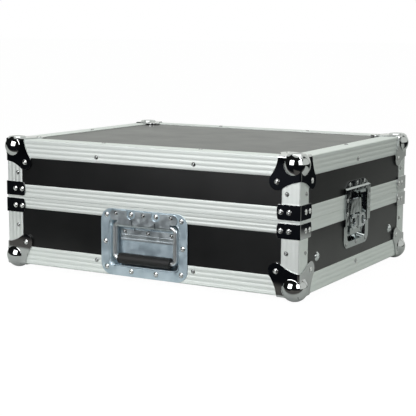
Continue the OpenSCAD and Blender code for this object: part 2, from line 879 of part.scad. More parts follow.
module keeper_outline() {
  x = latch_w / 2;
  top_x = x - keeper_narrow;
  polygon([[-x, 0], [x, 0], [x, crank_up - crank_run], [x - keeper_cut, crank_up],
           [top_x + keeper_cut, latch_up - keeper_cut], [top_x, latch_up],
           [-top_x, latch_up], [-top_x - keeper_cut, latch_up - keeper_cut],
           [-x + keeper_cut, crank_up], [-x, crank_up - crank_run]]);
}

module latch_keeper() {
  at_joint() {
    intersection() {
      difference() {
        cranked_plate(latch_up, crank_up, half_gap, 1);
        through() half_outline(dish_x, dish_up, dish_r, 1);
      }
      through() keeper_outline();
    }
    crank_returns(crank_up - crank_run / 2 - crank_lag, lid_rim_h, 1);
    dish_collar(dish_up + plate_t, dish_up, 1);
    dish_shell(dish_up, 1);
    keeper_lip();
  }
}

module latch_cut() {
  play = plate_t + 0.8;
  at_joint() through(-1, dish_deep + 10) {
    translate([-dish_x - play, -dish_down - play]) square([2 * (dish_x + play), dish_down + play]);
    translate([-dish_x - play, 0]) square([2 * (dish_x + play), dish_up + play]);
  }
}

ear_z = wing_h / 2 - 3;
ear_t = 1.6;
disc_t = 1.3;

// Turning part of the key: ears with the wing pins, disc, eccentric and post
module latch_rotor() {
  at_joint() translate([0, 0, -key_down]) {
    disc_front = wing_mid + knuckle_r + 0.2;
    cam_front = disc_front + disc_t;
    cam_back = hook_front + hook_t + 0.3;
    translate([0, disc_front, 0]) rotate([-90, 0, 0]) cylinder(h = disc_t, r = disc_r + 1);
    translate([0, cam_front - EPS, -hook_travel / 2]) rotate([-90, 0, 0])
      cylinder(h = cam_back - cam_front + EPS, r = cam_r);
    translate([0, cam_back - EPS, 0]) rotate([-90, 0, 0])
      cylinder(h = post_end - cam_back + EPS, r = post_r);
    for (sz = [-1, 1])
      translate([-wing_pin_x - knuckle_r, wing_mid - knuckle_r + 0.3,
                 sz > 0 ? ear_z : -ear_z - ear_t])
        cube([2 * (wing_pin_x + knuckle_r), disc_front - wing_mid + knuckle_r - 0.3 + EPS, ear_t]);
    for (sx = [-1, 1])
      translate([sx * wing_pin_x, wing_mid, -ear_z - EPS])
        cylinder(h = 2 * ear_z + 2 * EPS, r = wing_pin_r);
  }
}

// Pressed wing with a rolled knuckle, reaching to +x
module latch_wing() {
  play = 0.3;
  neck = wing_h / 2 - ear_z + play;
  at_joint() translate([0, wing_mid, -key_down]) {
    difference() {
      union() {
        translate([wing_pin_x, 0, -ear_z + play]) cylinder(h = 2 * (ear_z - play), r = knuckle_r);
        translate([0, wing_t / 2, 0]) rotate([90, 0, 0]) linear_extrude(wing_t) wing_outline(neck);
      }
      translate([wing_pin_x, 0, -ear_z]) cylinder(h = 2 * ear_z, r = wing_pin_r + pin_play);
    }
    wing_rim();
  }
}

// Wing seen from the front, with a finger window
module wing_outline(neck) {
  r = wing_h / 2;
  shoulder = wing_pin_x + knuckle_r + 1;
  difference() {
    union() {
      translate([wing_pin_x, -r + neck]) square([wing_reach - r - wing_pin_x, wing_h - 2 * neck]);
      translate([shoulder, -r]) square([wing_reach - r - shoulder, wing_h]);
      translate([wing_reach - r, 0]) circle(r);
    }
    translate([wing_reach - r, 0]) circle(r - wing_ring);
  }
}

// Raised rim round the wing's outer end
module wing_rim() {
  r = wing_h / 2;
  translate([wing_reach - r, -wing_t / 2 + EPS, 0]) rotate([90, 0, 0]) intersection() {
    difference() {
      cylinder(h = 0.7, r = r);
      translate([0, 0, -1]) cylinder(h = 3, r = r - 1.8);
    }
    translate([0, -r, 0]) cube([r, wing_h, 1]);
  }
}

// Hook plate with the window that the eccentric runs in
module latch_hook() {
  slack = 1.2;
  nose_r = 6;
  window_x = cam_r + hook_travel / 2 + slack;
  window_z = cam_r + slack;
  at_joint() translate([0, hook_front + hook_t, 0]) rotate([90, 0, 0]) linear_extrude(hook_t)
    difference() {
      union() {
        translate([-hook_x, -hook_down]) square([2 * hook_x, hook_down + hook_up - nose_r]);
        translate([-hook_x + nose_r, 0]) square([2 * (hook_x - nose_r), hook_up]);
        for (sx = [-1, 1]) translate([sx * (hook_x - nose_r), hook_up - nose_r]) circle(nose_r);
      }
      translate([-window_x, -key_down - hook_travel / 2 - window_z])
        square([2 * window_x, 2 * window_z]);
    }
}

module latch_side_rivets(z)
  for (sx = [-1, 1])
    translate([sx * (latch_w / 2 + dish_x + plate_t) / 2, latch_high, z]) rivet(small_rivet_r);

module latch_base_rivets()
  at_joint() {
    for (x = foot_rivet_x)
      translate([x, latch_low, foot_rivet_up - (latch_down + dish_down) / 2])
        rivet(small_rivet_r);
    latch_side_rivets(-side_rivet_down);
  }

module latch_lid_rivets()
  at_joint() {
    for (x = top_rivet_x)
      translate([x, latch_low, (latch_up + crank_up) / 2 + top_rivet_up]) rivet(small_rivet_r);
    latch_side_rivets(side_rivet_up);
  }

// Base panels

module floor_panel() color("#30302e") flat_panel(low_z + wall);

module front_panel()
  color("#26282a") on_front() difference() {
    base_panel(case_w);
    handle_cut();
  }

module back_panel() color("#26282a") on_back() base_panel(case_w);

module case_side()
  difference() {
    base_panel(case_d);
    latch_cut();
    bolt_holes(bolt_d / 2 + bolt_play);
  }

module left_panel() color("#26282a") on_left() case_side();
module right_panel() color("#26282a") on_right() case_side();

// Base edges

module front_edge(span) translate([-span / 2, 0, 0]) mitred_bar(span);

module base_edge_front()
  color("#cfd3d2") on_front() difference() {
    front_edge(case_w);
    handle_cut();
  }

module base_edge_back() color("#cfd3d2") on_back() front_edge(case_w);
module base_edge_left() color("#cfd3d2") on_left() front_edge(case_d);
module base_edge_right() color("#cfd3d2") on_right() front_edge(case_d);
module base_posts() color("#cfd3d2") post_set(post_base_h);

module base_rim_front() color("#cfd3d2") on_front() base_rim(case_w);
module base_rim_back() color("#cfd3d2") on_back() base_rim(case_w);

module notched_base_rim()
  difference() {
    base_rim(case_d);
    latch_cut();
  }

module base_rim_left() color("#cfd3d2") on_left() notched_base_rim();
module base_rim_right() color("#cfd3d2") on_right() notched_base_rim();

// Base fittings

module base_ball_corners() color("#b9bdbf") four_corners(false) ball_corner();

module base_corner_brackets()
  color("#b9bdbf") for (sx = [-1, 1], sy = [-1, 1]) at_corner(sx, sy, false)
    translate([0, 0, base_h - bracket_gap - bracket_h]) corner_bracket();

module base_rivets()
  color("#d8dadb") {
    frame_rivets(post_base_h, base_h - bracket_gap - bracket_h);
    on_front() handle_rivets();
    on_left() latch_base_rivets();
    on_right() latch_base_rivets();
  }

// Handle

module handle_dish()
  color("#8d9aa2") on_front() difference() {
    union() {
      rotate([90, 0, 0]) linear_extrude(plate_t)
        rounded_outline(handle_w / 2, handle_low, handle_top, handle_r);
      recess_block(plate_t, -plate_t / 2);
    }
    recess_block(0, -plate_t - 1);
    recess_mouth();
  }

hinge_low = bail_z + bail_d / 2 + 1.5;
hinge_high = handle_top - 2;
knuckle_out = bail_x - bail_bend - knuckle_end;
knuckle_out_r = bail_d / 2 + bail_play + knuckle_t;
slit_r = knuckle_out_r + 1;

module hinge_leaf_outline() {
  difference() {
    union() {
      rounded_outline(hinge_x, hinge_low, hinge_high, hinge_r);
      translate([-knuckle_out, bail_z]) square([2 * knuckle_out, hinge_high - bail_z - hinge_r]);
    }
    for (sx = [-1, 1])
      translate([sx * upper_rivets[1][0], handle_top - upper_rivets[1][1]]) {
        circle(notch_r);
        translate([-notch_r, 0]) square([2 * notch_r, notch_r]);
      }
  }
}

// Leaf riveted over the plate, rolled into three knuckles that carry the bail
module handle_hinge_plate()
  color("#8d9aa2") on_front() difference() {
    union() {
      translate([0, -plate_t, 0]) rotate([90, 0, 0]) linear_extrude(plate_t)
        hinge_leaf_outline();
      for (x = [-knuckle_out, -knuckle_mid + knuckle_gap, knuckle_mid])
        translate([x, bail_in, bail_z]) rotate([0, 90, 0])
          cylinder(h = x == -knuckle_mid + knuckle_gap
                   ? 2 * (knuckle_mid - knuckle_gap) : knuckle_out - knuckle_mid,
                   r = knuckle_out_r);
      translate([-knuckle_out, -2 * plate_t, bail_z])
        cube([2 * knuckle_out, 2 * plate_t, knuckle_out_r]);
    }
    translate([-knuckle_out - 1, bail_in, bail_z]) rotate([0, 90, 0])
      cylinder(h = 2 * knuckle_out + 2, r = bail_d / 2 + bail_play);
    for (sx = [-1, 1])
      translate([sx > 0 ? knuckle_mid - knuckle_gap : -knuckle_mid, bail_in - slit_r,
                 bail_z - slit_r])
        cube([knuckle_gap, 2 * slit_r, 2 * slit_r]);
  }

// Strip across the back of the recess, with a lip below and a bead along it
module handle_stop_strip() {
  lip = 3;
  bead = 1.5;
  low = strip_high - strip_h;
  color("#8d9aa2") on_front() {
    strip_bar(plate_t, low, strip_h);
    strip_bar(lip, low, lip);
    strip_bar(plate_t + bead / 2, low + strip_h / 2 - bead, bead);
  }
}

module strip_bar(t, low, h)
  translate([-strip_x, recess_deep - t, low]) cube([2 * strip_x, t, h]);

// Closely wound torsion spring inside the middle knuckle, with one leg down to the dish
module handle_spring() {
  coils = floor((2 * (knuckle_mid - knuckle_gap) - 2 * spring_play) / spring_wire);
  length = coils * spring_wire;
  outer = bail_d / 2 - 0.1;
  mean = outer - spring_wire / 2;
  inner = outer - spring_wire;
  leg_x = -knuckle_mid + knuckle_gap / 2;
  leg_low = bail_z - strip_high + spring_wire;
  color("#5b6166") on_front() translate([0, bail_in, bail_z]) {
    translate([-length / 2, 0, 0]) rotate([0, 90, 0]) rotate_extrude()
      polygon(concat([[inner, length], [inner, 0]],
                     [for (i = [0:coils - 1], p = coil_side) [mean + p[0], (i + p[1]) * spring_wire]],
                     [[mean, length]]));
    translate([leg_x, 0, 0]) spring_leg(mean, leg_low);
    translate([leg_x - spring_wire / 2, 0, 0]) intersection() {
      rotate([0, 90, 0]) difference() {
        cylinder(h = -leg_x - length / 2 + spring_wire, r = outer);
        translate([0, 0, -1]) cylinder(h = knuckle_mid, r = inner);
      }
      translate([0, inner - 1, -outer]) cube([knuckle_mid, outer, outer]);
    }
  }
}

spring_wire = 1;
spring_play = 1;
coil_side = [[0, 0], [spring_wire * 0.35, 0.15], [spring_wire / 2, 0.5], [spring_wire * 0.35, 0.85]];

// Leg of the torsion spring, from the coil's back down to the stop strip
module spring_leg(at, drop)
  translate([0, at, -drop]) cylinder(h = drop, r = spring_wire / 2);

bail_end = knuckle_mid + 0.4;

// Quarter bend of the rod: starts along +x at the origin and turns to -z
module rod_bend()
  translate([0, 0, -bail_bend]) rotate([90, 0, 0]) rotate_extrude(angle = 90)
    translate([bail_bend, 0]) circle(bail_d / 2);

module bail_half() {
  arm_low = -bail_drop + bail_bend;
  translate([bail_end, 0, 0]) rotate([0, 90, 0])
    cylinder(h = bail_x - bail_bend - bail_end + EPS, r = bail_d / 2);
  translate([bail_x - bail_bend, 0, 0]) rod_bend();
  translate([bail_x, 0, arm_low]) cylinder(h = bail_drop - 2 * bail_bend, r = bail_d / 2);
  translate([bail_x - bail_bend, 0, -bail_drop]) mirror([0, 0, 1]) rod_bend();
  translate([0, 0, -bail_drop]) rotate([0, 90, 0])
    cylinder(h = bail_x - bail_bend + EPS, r = bail_d / 2);
}

module handle_bail()
  color("#c9ced1") on_front() translate([0, bail_in, bail_z]) {
    bail_half();
    mirror([1, 0, 0]) bail_half();
  }

module handle_grip()
  color("#1b1b1c") on_front() translate([0, bail_in, bail_z - bail_drop]) rotate([0, 90, 0]) {
    grip_l = 2 * (bail_x - bail_bend - grip_end);
    difference() {
      union() {
        cylinder(h = grip_l - 2 * grip_soft, r = grip_d / 2, center = true);
        for (end = [0, 1]) mirror([0, 0, end]) translate([0, 0, grip_l / 2 - grip_soft])
          cylinder(h = grip_soft, r1 = grip_d / 2, r2 = grip_d / 2 - grip_soft);
      }
      cylinder(h = grip_l + 2, r = bail_d / 2 + bail_play, center = true);
    }
  }

// Rack rails

rail_top = base_h - rail_down;
rail_face = rack_open / 2 + ear_flange;

module rail_profile() {
  inside = rail_bend - rail_t;
  difference() {
    translate([0, -rail_h]) square([ear_flange, rail_h]);
    translate([-1, -rail_h - 1]) square([ear_flange - rail_t + 1 - inside, rail_h - rail_t + 1]);
    translate([-1, -rail_h - 1]) square([ear_flange - rail_t + 1, rail_h - rail_t + 1 - inside]);
    translate([ear_flange - rail_bend, -rail_bend]) circle(inside);
    difference() {
      translate([ear_flange - rail_bend, -rail_bend]) square(rail_bend + 1);
      translate([ear_flange - rail_bend, -rail_bend]) circle(rail_bend);
    }
  }
}

// Right-hand rail along Y, with three holes in each unit
module rack_rail() {
  difference() {
    translate([rack_open / 2, rail_length / 2, low_z + rail_top]) rotate([90, 0, 0])
      linear_extrude(rail_length) rail_profile();
    for (u = [0:rack_units - 1], step = [1, 3.5, 6])
      translate([rack_pitch / 2, -rail_length / 2 + u * unit_h + step * unit_h / 7,
                 low_z + rail_top - rail_t - 1])
        cylinder(h = rail_t + 2, r = rack_hole_r);
    on_right() bolt_holes(bolt_d / 2 + bolt_play);
  }
}

module rack_rail_right() color("#3a3c3e") rack_rail();
module rack_rail_left() color("#3a3c3e") mirror([1, 0, 0]) rack_rail();

spacer_t = case_w / 2 - inner_face - rail_face;

module spacer_pair()
  difference() {
    for (y = [-bolt_y, bolt_y])
      translate([y - spacer_l / 2, inner_face, bolt_z - spacer_h / 2])
        cube([spacer_l, spacer_t, spacer_h]);
    bolt_holes(bolt_d / 2 + bolt_play);
  }

module rail_spacers() color("#b98f5c") { on_left() spacer_pair(); on_right() spacer_pair(); }

washer_t = 1.6;
nut_t = 5;
bolt_length = panel_t + spacer_t + rail_t + washer_t + nut_t + 2;

module bolt_pair()
  for (y = [-bolt_y, bolt_y])
    translate([y, wall, bolt_z]) rotate([90, 0, 0]) rotate_extrude() {
      dome_section(bolt_head_r, bolt_head_h);
      translate([0, -bolt_length]) square([bolt_d / 2, bolt_length + EPS]);
    }

module rail_bolts() color("#c4c8ca") { on_left() bolt_pair(); on_right() bolt_pair(); }

module nut_pair()
  for (y = [-bolt_y, bolt_y])
    translate([y, inner_face + spacer_t + rail_t, bolt_z]) rotate([-90, 0, 0]) difference() {
      union() {
        cylinder(h = washer_t, r = bolt_d);
        translate([0, 0, washer_t]) cylinder(h = nut_t, r = bolt_d * 0.96, $fn = 6);
      }
      translate([0, 0, -1]) cylinder(h = washer_t + nut_t + 2, r = bolt_d / 2 + 0.06);
    }

module rail_nuts() color("#c4c8ca") { on_left() nut_pair(); on_right() nut_pair(); }

// Foam

module foam_block(z, t)
  translate([-case_w / 2 + inner_leg + foam_play, -case_d / 2 + inner_leg + foam_play, z])
    cube([case_w - 2 * (inner_leg + foam_play), case_d - 2 * (inner_leg + foam_play), t]);

module floor_foam() color("#2a2a2c") foam_block(low_z + inner_face, floor_foam_t);
module lid_foam() color("#2a2a2c") foam_block(top_z - inner_face - lid_foam_t, lid_foam_t);

// Latches

module left_latch_dish() color("#a9afb2") on_left() latch_dish();
module right_latch_dish() color("#a9afb2") on_right() latch_dish();
module left_latch_keeper() color("#a9afb2") on_left() latch_keeper();
module right_latch_keeper() color("#a9afb2") on_right() latch_keeper();
module left_latch_rotor() color("#c4c8ca") on_left() latch_rotor();
module right_latch_rotor() color("#c4c8ca") on_right() latch_rotor();
module left_latch_hook() color("#b4babd") on_left() latch_hook();
module right_latch_hook() color("#b4babd") on_right() latch_hook();
module left_latch_wing_a() color("#d0d4d6") on_left() latch_wing();
module right_latch_wing_a() color("#d0d4d6") on_right() latch_wing();
module left_latch_wing_b() color("#d0d4d6") on_left() mirror([1, 0, 0]) latch_wing();
module right_latch_wing_b() color("#d0d4d6") on_right() mirror([1, 0, 0]) latch_wing();

// Lid

module lid_top_panel() color("#4a4c4a") flat_panel(top_z - wall - panel_t);
module lid_front_panel() color("#26282a") on_front() lid_panel(case_w);
module lid_back_panel() color("#26282a") on_back() lid_panel(case_w);

module lid_case_side()
  difference() {
    lid_panel(case_d);
    latch_cut();
  }

module lid_left_panel() color("#26282a") on_left() lid_case_side();
module lid_right_panel() color("#26282a") on_right() lid_case_side();

module lid_edge_front() color("#cfd3d2") lid_side() on_front() front_edge(case_w);
module lid_edge_back() color("#cfd3d2") lid_side() on_back() front_edge(case_w);
module lid_edge_left() color("#cfd3d2") lid_side() on_left() front_edge(case_d);
module lid_edge_right() color("#cfd3d2") lid_side() on_right() front_edge(case_d);
module lid_posts() color("#cfd3d2") lid_side() post_set(post_lid_h - seam_gap);

module lid_rim_front() color("#cfd3d2") on_front() lid_rim(case_w);
module lid_rim_back() color("#cfd3d2") on_back() lid_rim(case_w);

module notched_lid_rim()
  difference() {
    lid_rim(case_d);
    latch_cut();
  }

module lid_rim_left() color("#cfd3d2") on_left() notched_lid_rim();
module lid_rim_right() color("#cfd3d2") on_right() notched_lid_rim();

module lid_ball_corners() color("#b9bdbf") four_corners(true) stacking_corner();

module lid_corner_brackets()
  color("#b9bdbf") for (sx = [-1, 1], sy = [-1, 1]) at_corner(sx, sy, false)
    translate([0, 0, base_h + seam_gap + bracket_gap]) corner_bracket();

module lid_rivets()
  color("#d8dadb") {
    lid_side() frame_rivets(post_lid_h, lid_h - seam_gap - bracket_gap - bracket_h);
    on_left() latch_lid_rivets();
    on_right() latch_lid_rivets();
  }

floor_panel();
front_panel();
back_panel();
left_panel();
right_panel();
base_edge_front();
base_edge_back();
base_edge_left();
base_edge_right();
base_posts();
base_rim_front();
base_rim_back();
base_rim_left();
base_rim_right();
base_ball_corners();
base_corner_brackets();
base_rivets();
handle_dish();
handle_hinge_plate();
handle_stop_strip();
handle_spring();
handle_bail();
handle_grip();
rack_rail_left();
rack_rail_right();
rail_spacers();
rail_bolts();
rail_nuts();
floor_foam();
left_latch_dish();
left_latch_rotor();
left_latch_hook();
left_latch_wing_a();
left_latch_wing_b();
left_latch_keeper();
right_latch_dish();
right_latch_rotor();
right_latch_hook();
right_latch_wing_a();
right_latch_wing_b();
right_latch_keeper();
lid_top_panel();
lid_front_panel();
lid_back_panel();
lid_left_panel();
lid_right_panel();
lid_edge_front();
lid_edge_back();
lid_edge_left();
lid_edge_right();
lid_posts();
lid_rim_front();
lid_rim_back();
lid_rim_left();
lid_rim_right();
lid_ball_corners();
lid_corner_brackets();
lid_rivets();
lid_foam();
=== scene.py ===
"""Flight case for a nineteen inch mixer: black panels in ribbed aluminium, chromed corners."""

import math

import bmesh
import bpy
from mathutils import Matrix, Vector, noise


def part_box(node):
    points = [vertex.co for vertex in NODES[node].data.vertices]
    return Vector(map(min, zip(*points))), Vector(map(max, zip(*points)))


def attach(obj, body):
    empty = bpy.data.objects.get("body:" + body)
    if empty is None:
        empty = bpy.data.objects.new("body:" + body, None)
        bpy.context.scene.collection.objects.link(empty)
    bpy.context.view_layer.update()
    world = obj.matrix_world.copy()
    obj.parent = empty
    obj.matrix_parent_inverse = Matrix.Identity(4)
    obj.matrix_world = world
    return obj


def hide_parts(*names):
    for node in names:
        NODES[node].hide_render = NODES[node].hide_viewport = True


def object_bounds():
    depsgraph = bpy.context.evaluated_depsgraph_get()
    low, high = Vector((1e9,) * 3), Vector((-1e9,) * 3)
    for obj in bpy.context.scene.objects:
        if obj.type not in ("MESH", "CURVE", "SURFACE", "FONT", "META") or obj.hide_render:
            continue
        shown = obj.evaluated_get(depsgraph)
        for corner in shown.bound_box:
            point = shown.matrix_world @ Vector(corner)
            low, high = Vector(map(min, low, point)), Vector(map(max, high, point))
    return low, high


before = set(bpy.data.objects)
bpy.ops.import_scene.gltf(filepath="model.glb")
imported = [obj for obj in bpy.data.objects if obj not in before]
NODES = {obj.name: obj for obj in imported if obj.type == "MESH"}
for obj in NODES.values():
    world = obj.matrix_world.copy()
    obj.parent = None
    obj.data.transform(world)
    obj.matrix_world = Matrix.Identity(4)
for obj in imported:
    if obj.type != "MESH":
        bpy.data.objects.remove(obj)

CAD_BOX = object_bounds()
MM = 0.001

# How far the balls stand out of the aluminium, in front of it and below it
BALLS_OUT = 0.0085
# Corners of a carried-over mesh that are closer than this are one
WELD = 0.002 * MM

# Camera, solved from the straight edges of the case
VIEW_AZIMUTH = math.radians(29.51)
VIEW_ELEVATION = math.radians(8.641)
VIEW_ROLL = math.radians(0.384)
VIEW_DISTANCE = 2.0717
VIEW_SHIFT = (0.005041, -0.08457)
VIEW_REACH = 50
FOCAL_PIXELS = 1191.024
PHOTO_SIDE = 416
SENSOR = 36.0


def place_camera():
    """Puts the camera where the photograph was taken from."""
    az, el, roll = VIEW_AZIMUTH, VIEW_ELEVATION, VIEW_ROLL
    right = Vector((math.cos(az), math.sin(az), 0))
    back = Vector((math.sin(az) * math.cos(el), -math.cos(az) * math.cos(el), math.sin(el)))
    up = back.cross(right)
    tilted_right = math.cos(roll) * right + math.sin(roll) * up
    tilted_up = -math.sin(roll) * right + math.cos(roll) * up
    data = bpy.data.cameras.new("camera")
    data.sensor_width = SENSOR
    data.lens = FOCAL_PIXELS * SENSOR / PHOTO_SIDE
    data.clip_end = VIEW_REACH
    camera = bpy.data.objects.new("camera", data)
    turn = Matrix((tilted_right, tilted_up, back)).transposed()
    place = VIEW_DISTANCE * back - VIEW_SHIFT[0] * tilted_right - VIEW_SHIFT[1] * tilted_up
    place.z += BALLS_OUT
    camera.matrix_world = Matrix.Translation(place) @ turn.to_4x4()
    bpy.context.scene.collection.objects.link(camera)
    bpy.context.scene.camera = camera


# Materials

# The range that a noise texture's values mostly keep to
NOISE_LOW = 0.3
NOISE_HIGH = 0.7
# Clear passivation on zinc: a hard thin gloss over the duller metal
SEAL_IOR = 1.8
SEAL_ROUGHNESS = 0.12


def colour(code):
    """An sRGB hex value as a linear colour."""
    parts = [int(code[i:i + 2], 16) / 255 for i in (1, 3, 5)]
    linear = [c / 12.92 if c <= 0.04045 else ((c + 0.055) / 1.055) ** 2.4 for c in parts]
    return (*linear, 1.0)


def feed(tree, node, inputs):
    """Links each socket that is given to an input of the node, and sets each plain value."""
    for key, value in inputs.items():
        if isinstance(value, bpy.types.NodeSocket):
            tree.links.new(value, node.inputs[key])
        else:
            node.inputs[key].default_value = value


def add(tree, kind, settings=None, inputs=None):
    """A new node with its settings, its values and the sockets that feed it."""
    made = tree.nodes.new(kind)
    for key, value in (settings or {}).items():
        setattr(made, key, value)
    feed(tree, made, inputs or {})
    return made


def start(name):
    """An empty material, its tree, its shader and the place on the object in metres."""
    made = bpy.data.materials.new(name)
    made.use_nodes = True
    tree = made.node_tree
    tree.nodes.clear()
    shader = add(tree, "ShaderNodeBsdfPrincipled")
    add(tree, "ShaderNodeOutputMaterial", inputs={"Surface": shader.outputs[0]})
    place = add(tree, "ShaderNodeTexCoord").outputs["Object"]
    return made, tree, shader, place


def per_metre(size_mm):
    """Texture scale at which one feature is size_mm across."""
    return 1 / (size_mm * MM)


def clouds(tree, place, size_mm, detail, roughness=0.5):
    """Noise with features of size_mm."""
    return add(tree, "ShaderNodeTexNoise", None,
               {"Vector": place, "Scale": per_metre(size_mm), "Detail": detail,
                "Roughness": roughness}).outputs["Fac"]


def blend(tree, share, first, second, mode="MIX"):
    """Two colours mixed by the share of the second one."""
    return add(tree, "ShaderNodeMix", {"data_type": "RGBA", "blend_type": mode},
               {0: share, 6: first, 7: second}).outputs[2]


def between(tree, value, low, high):
    """A noise value spread over the range from low to high."""
    return add(tree, "ShaderNodeMapRange", None,
               {"Value": value, "From Min": NOISE_LOW, "From Max": NOISE_HIGH,
                "To Min": low, "To Max": high}).outputs[0]


def relief(tree, height, strength, deep_mm):
    """A surface normal that follows a height."""
    return add(tree, "ShaderNodeBump", None,
               {"Height": height, "Strength": strength, "Distance": deep_mm * MM}).outputs[0]


def combine(tree, operation, first, second):
    """The result of one sum on two values."""
    return add(tree, "ShaderNodeMath", {"operation": operation}, {0: first, 1: second}).outputs[0]


def step(tree, value, low, high, first=0.0, last=1.0):
    """A soft step from first to last, as value passes from low to high."""
    return add(tree, "ShaderNodeMapRange", {"interpolation_type": "SMOOTHSTEP"},
               {"Value": value, "From Min": low, "From Max": high,
                "To Min": first, "To Max": last}).outputs[0]


def laminate():
    """Phenolic film pressed on birch plywood: nearly black, satin, with a fine leather grain."""
    made, tree, shader, place = start("phenolic_film")
    cells = add(tree, "ShaderNodeTexVoronoi", {"feature": "SMOOTH_F1"},
                {"Vector": place, "Scale": per_metre(1.6), "Smoothness": 0.6})
    pores = clouds(tree, place, 0.9, 3)
    grain = combine(tree, "MULTIPLY", cells.outputs["Distance"], pores)
    rub = clouds(tree, place, 70, 5, 0.6)
    feed(tree, shader, {"Base Color": blend(tree, rub, colour("#090a0b"), colour("#0d0e0f")),
                        "Roughness": between(tree, rub, 0.28, 0.33),
                        "Normal": relief(tree, grain, 0.06, 0.25), "IOR": 1.55})
    return made


def extrusion(name, stretch, smooth, rough):
    """Mill finish aluminium: pale and satin, with faint die lines that run along the bar."""
    made, tree, shader, place = start(name)
    lines = add(tree, "ShaderNodeMapping", None, {"Vector": place, "Scale": stretch})
    streaks = clouds(tree, lines.outputs[0], 0.9, 2)
    cloud = clouds(tree, place, 60, 3)
    mixed = add(tree, "ShaderNodeMix", {"data_type": "FLOAT"},
                {0: 0.5, 2: streaks, 3: cloud}).outputs[0]
    feed(tree, shader, {"Base Color": blend(tree, mixed, colour("#e3e9e6"), colour("#edf1ef")),
                        "Roughness": between(tree, mixed, rough, smooth), "Metallic": 1.0})
    return made


def plated(name, dark, light, smooth, rough, wave_mm, wave_deep, sealed=0.0):
    """Plated pressed steel: a metal mirror, softer where duller; zinc has a glossy clear seal."""
    made, tree, shader, place = start(name)
    cloud = clouds(tree, place, wave_mm, 3, 0.45)
    press = clouds(tree, place, wave_mm, 0)
    feed(tree, shader, {"Base Color": blend(tree, cloud, colour(dark), colour(light)),
                        "Roughness": between(tree, cloud, smooth, rough),
                        "Normal": relief(tree, press, 0.5, wave_deep), "Metallic": 1.0,
                        "Coat Weight": sealed, "Coat IOR": SEAL_IOR,
                        "Coat Roughness": SEAL_ROUGHNESS})
    return made


def moulded_rubber():
    """Moulded rubber sleeve: black and matt, with a fine mould grain."""
    made, tree, shader, place = start("moulded_rubber")
    grain = clouds(tree, place, 0.8, 4)
    dust = clouds(tree, place, 12, 5)
    feed(tree, shader, {"Base Color": blend(tree, dust, colour("#0d0d0e"), colour("#171819")),
                        "Normal": relief(tree, grain, 0.4, 0.15), "Roughness": 0.6})
    return made


def powder_coat():
    """Black powder coat: satin, with the fine orange peel of baked powder."""
    made, tree, shader, place = start("black_powder_coat")
    peel = clouds(tree, place, 1.5, 2)
    feed(tree, shader, {"Base Color": colour("#1d1e20"),
                        "Normal": relief(tree, peel, 0.5, 0.15), "Roughness": 0.42})
    return made


def bare_plywood():
    """Birch plywood, sawn and unfinished: pale wood with darker glue lines."""
    made, tree, shader, place = start("birch_plywood")
    plies = add(tree, "ShaderNodeTexWave", {"bands_direction": "X"},
                {"Vector": place, "Scale": per_metre(1.4) / (2 * math.pi) * 3,
                 "Distortion": 0.6, "Detail": 2})
    grain = clouds(tree, place, 2.5, 6)
    wood = blend(tree, grain, colour("#a98254"), colour("#d3b283"))
    layered = blend(tree, 0.35, wood, plies.outputs["Color"], "MULTIPLY")
    feed(tree, shader, {"Base Color": layered, "Roughness": 0.7})
    return made


def open_cell_foam():
    """Open-cell polyurethane foam: dark grey and dull, with a skin of tiny pores whose pits are
    painted darker as shade.
    """
    made, tree, shader, place = start("open_cell_foam")
    pores = add(tree, "ShaderNodeTexVoronoi", None,
                {"Vector": place, "Scale": per_metre(1.8)})
    soft = clouds(tree, place, 0.9, 4)
    depth = combine(tree, "MULTIPLY", pores.outputs["Distance"], soft)
    # Painted shade in the pores: the pits of the bump are coloured darker than the cell walls
    feed(tree, shader, {"Base Color": blend(tree, depth, colour("#17171a"), colour("#3a3a3f")),
                        "Normal": relief(tree, depth, 0.9, 0.8), "Roughness": 0.95})
    return made


# Stretch of the die lines along a bar
ALONG = 0.012
